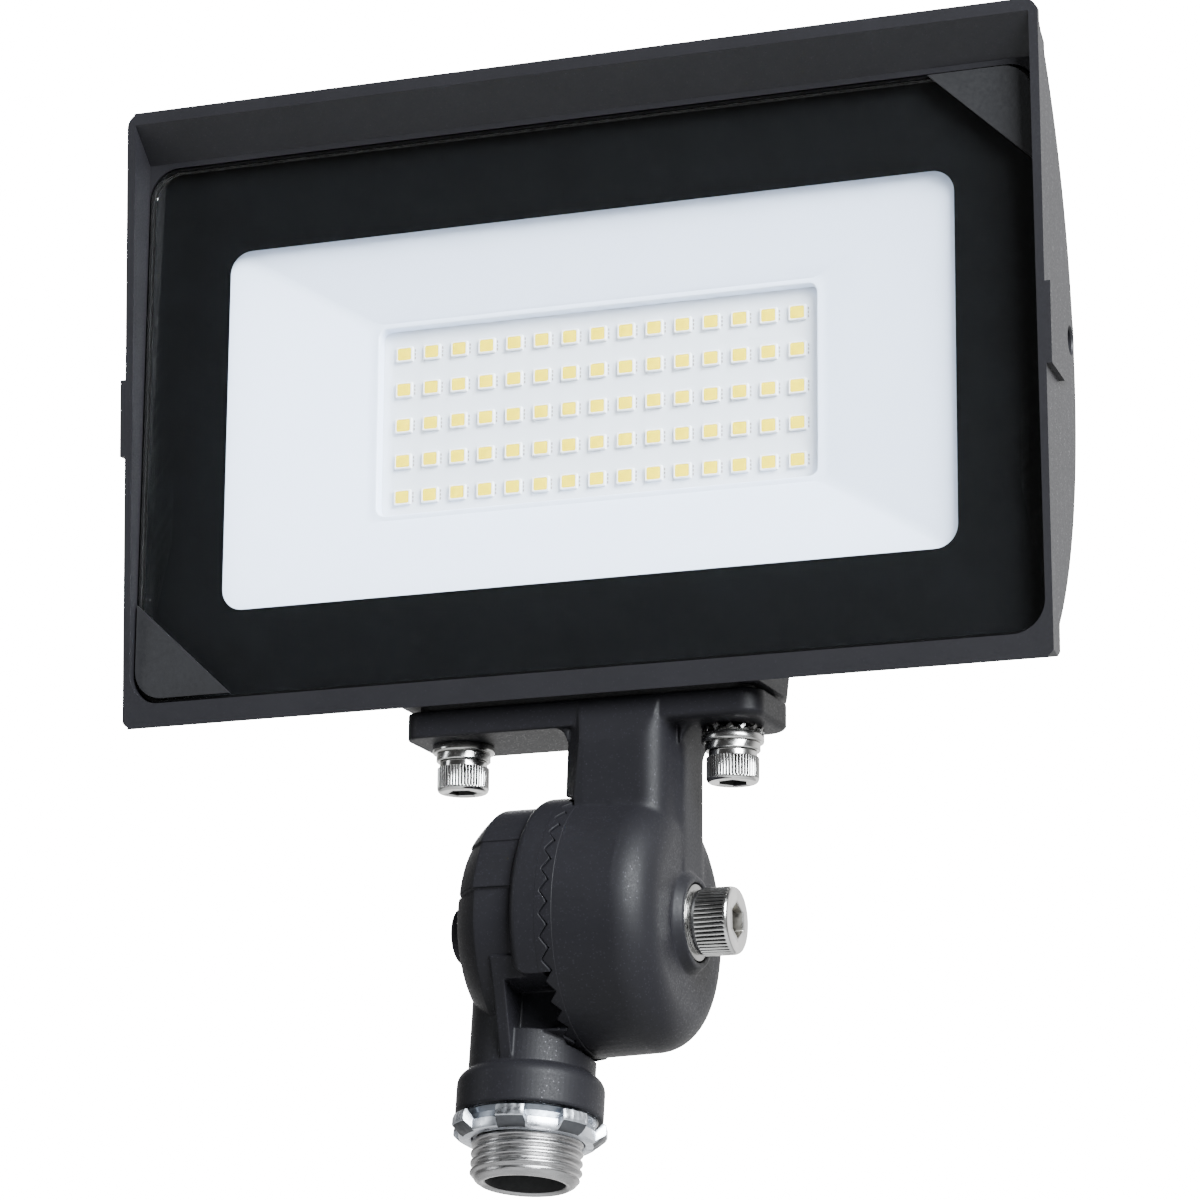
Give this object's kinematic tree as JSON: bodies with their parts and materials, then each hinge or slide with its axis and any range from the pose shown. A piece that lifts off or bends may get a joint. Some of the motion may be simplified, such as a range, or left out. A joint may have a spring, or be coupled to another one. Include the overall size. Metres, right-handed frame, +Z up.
{
  "type": "flood light",
  "caption": "Rectangular LED flood light with a visor, glass front, tilting serrated knuckle and threaded conduit nipple.",
  "frame": {"origin": "on the nipple's axis, at the underside of the collar that seats on the junction box", "axes": "+Z up along the nipple towards the head, light shines towards -Y, +X to the viewer's right"},
  "size_m": [0.1922, 0.0667, 0.2147],
  "materials": {
    "housing_coat": "dark bronze-black powder coat, satin, fine sparkle",
    "knuckle_coat": "dark bronze-black powder coat, satin, fine sparkle",
    "glass": "clear tempered",
    "border_print": "fired-on black print",
    "gasket_rubber": "matte silicone",
    "corner_plate": "satin",
    "reflector_white": "satin white",
    "board_white": "white solder mask",
    "emitter": "yellow phosphor in a white package",
    "stainless": "polished stainless",
    "zinc": "bright zinc plate",
    "driver_case": "matte",
    "lead_red": "insulated wire",
    "ground_green": "green screw"
  },
  "bodies": {
    "head": {"housing": "housing_coat", "rear_cover": "housing_coat", "rear_cover_gasket": "gasket_rubber", "rear_cover_screws": "stainless", "glass": "glass", "glass_border": "border_print", "glass_gasket": "gasket_rubber", "corner_plates": "corner_plate", "reflector": "reflector_white", "reflector_screws": "stainless", "led_board": "board_white", "leds": "emitter", "led_board_screws": "stainless", "driver": "driver_case", "driver_screws": "stainless", "led_leads": "lead_red", "wire_grommet": "gasket_rubber", "ground_screw": "ground_green", "bracket_gasket": "gasket_rubber", "knuckle_upper": "knuckle_coat", "head_bolts": "stainless", "head_flat_washers": "stainless", "head_spring_washers": "stainless", "head_star_washer": "stainless"},
    "base": {"knuckle_lower": "knuckle_coat", "knuckle_seal": "gasket_rubber"},
    "clamp": {"clamp_bolt": "stainless", "clamp_washer": "stainless"},
    "locknut": {"conduit_locknut": "zinc"}
  },
  "joints": [
    {"name": "knuckle_tilt", "type": "hinge", "parent": "base", "child": "head", "pos_m": [0, 0, 0.0369], "axis": [1, 0, 0], "range_deg": [-100, 80]},
    {"name": "clamp_bolt_turn", "type": "hinge", "parent": "base", "child": "clamp", "pos_m": [0, 0, 0.0369], "axis": [1, 0, 0], "continuous": true},
    {"name": "locknut_turn", "type": "hinge", "parent": "base", "child": "locknut", "pos_m": [0, 0, -0.0025], "axis": [0, 0, 1], "continuous": true}
  ]
}
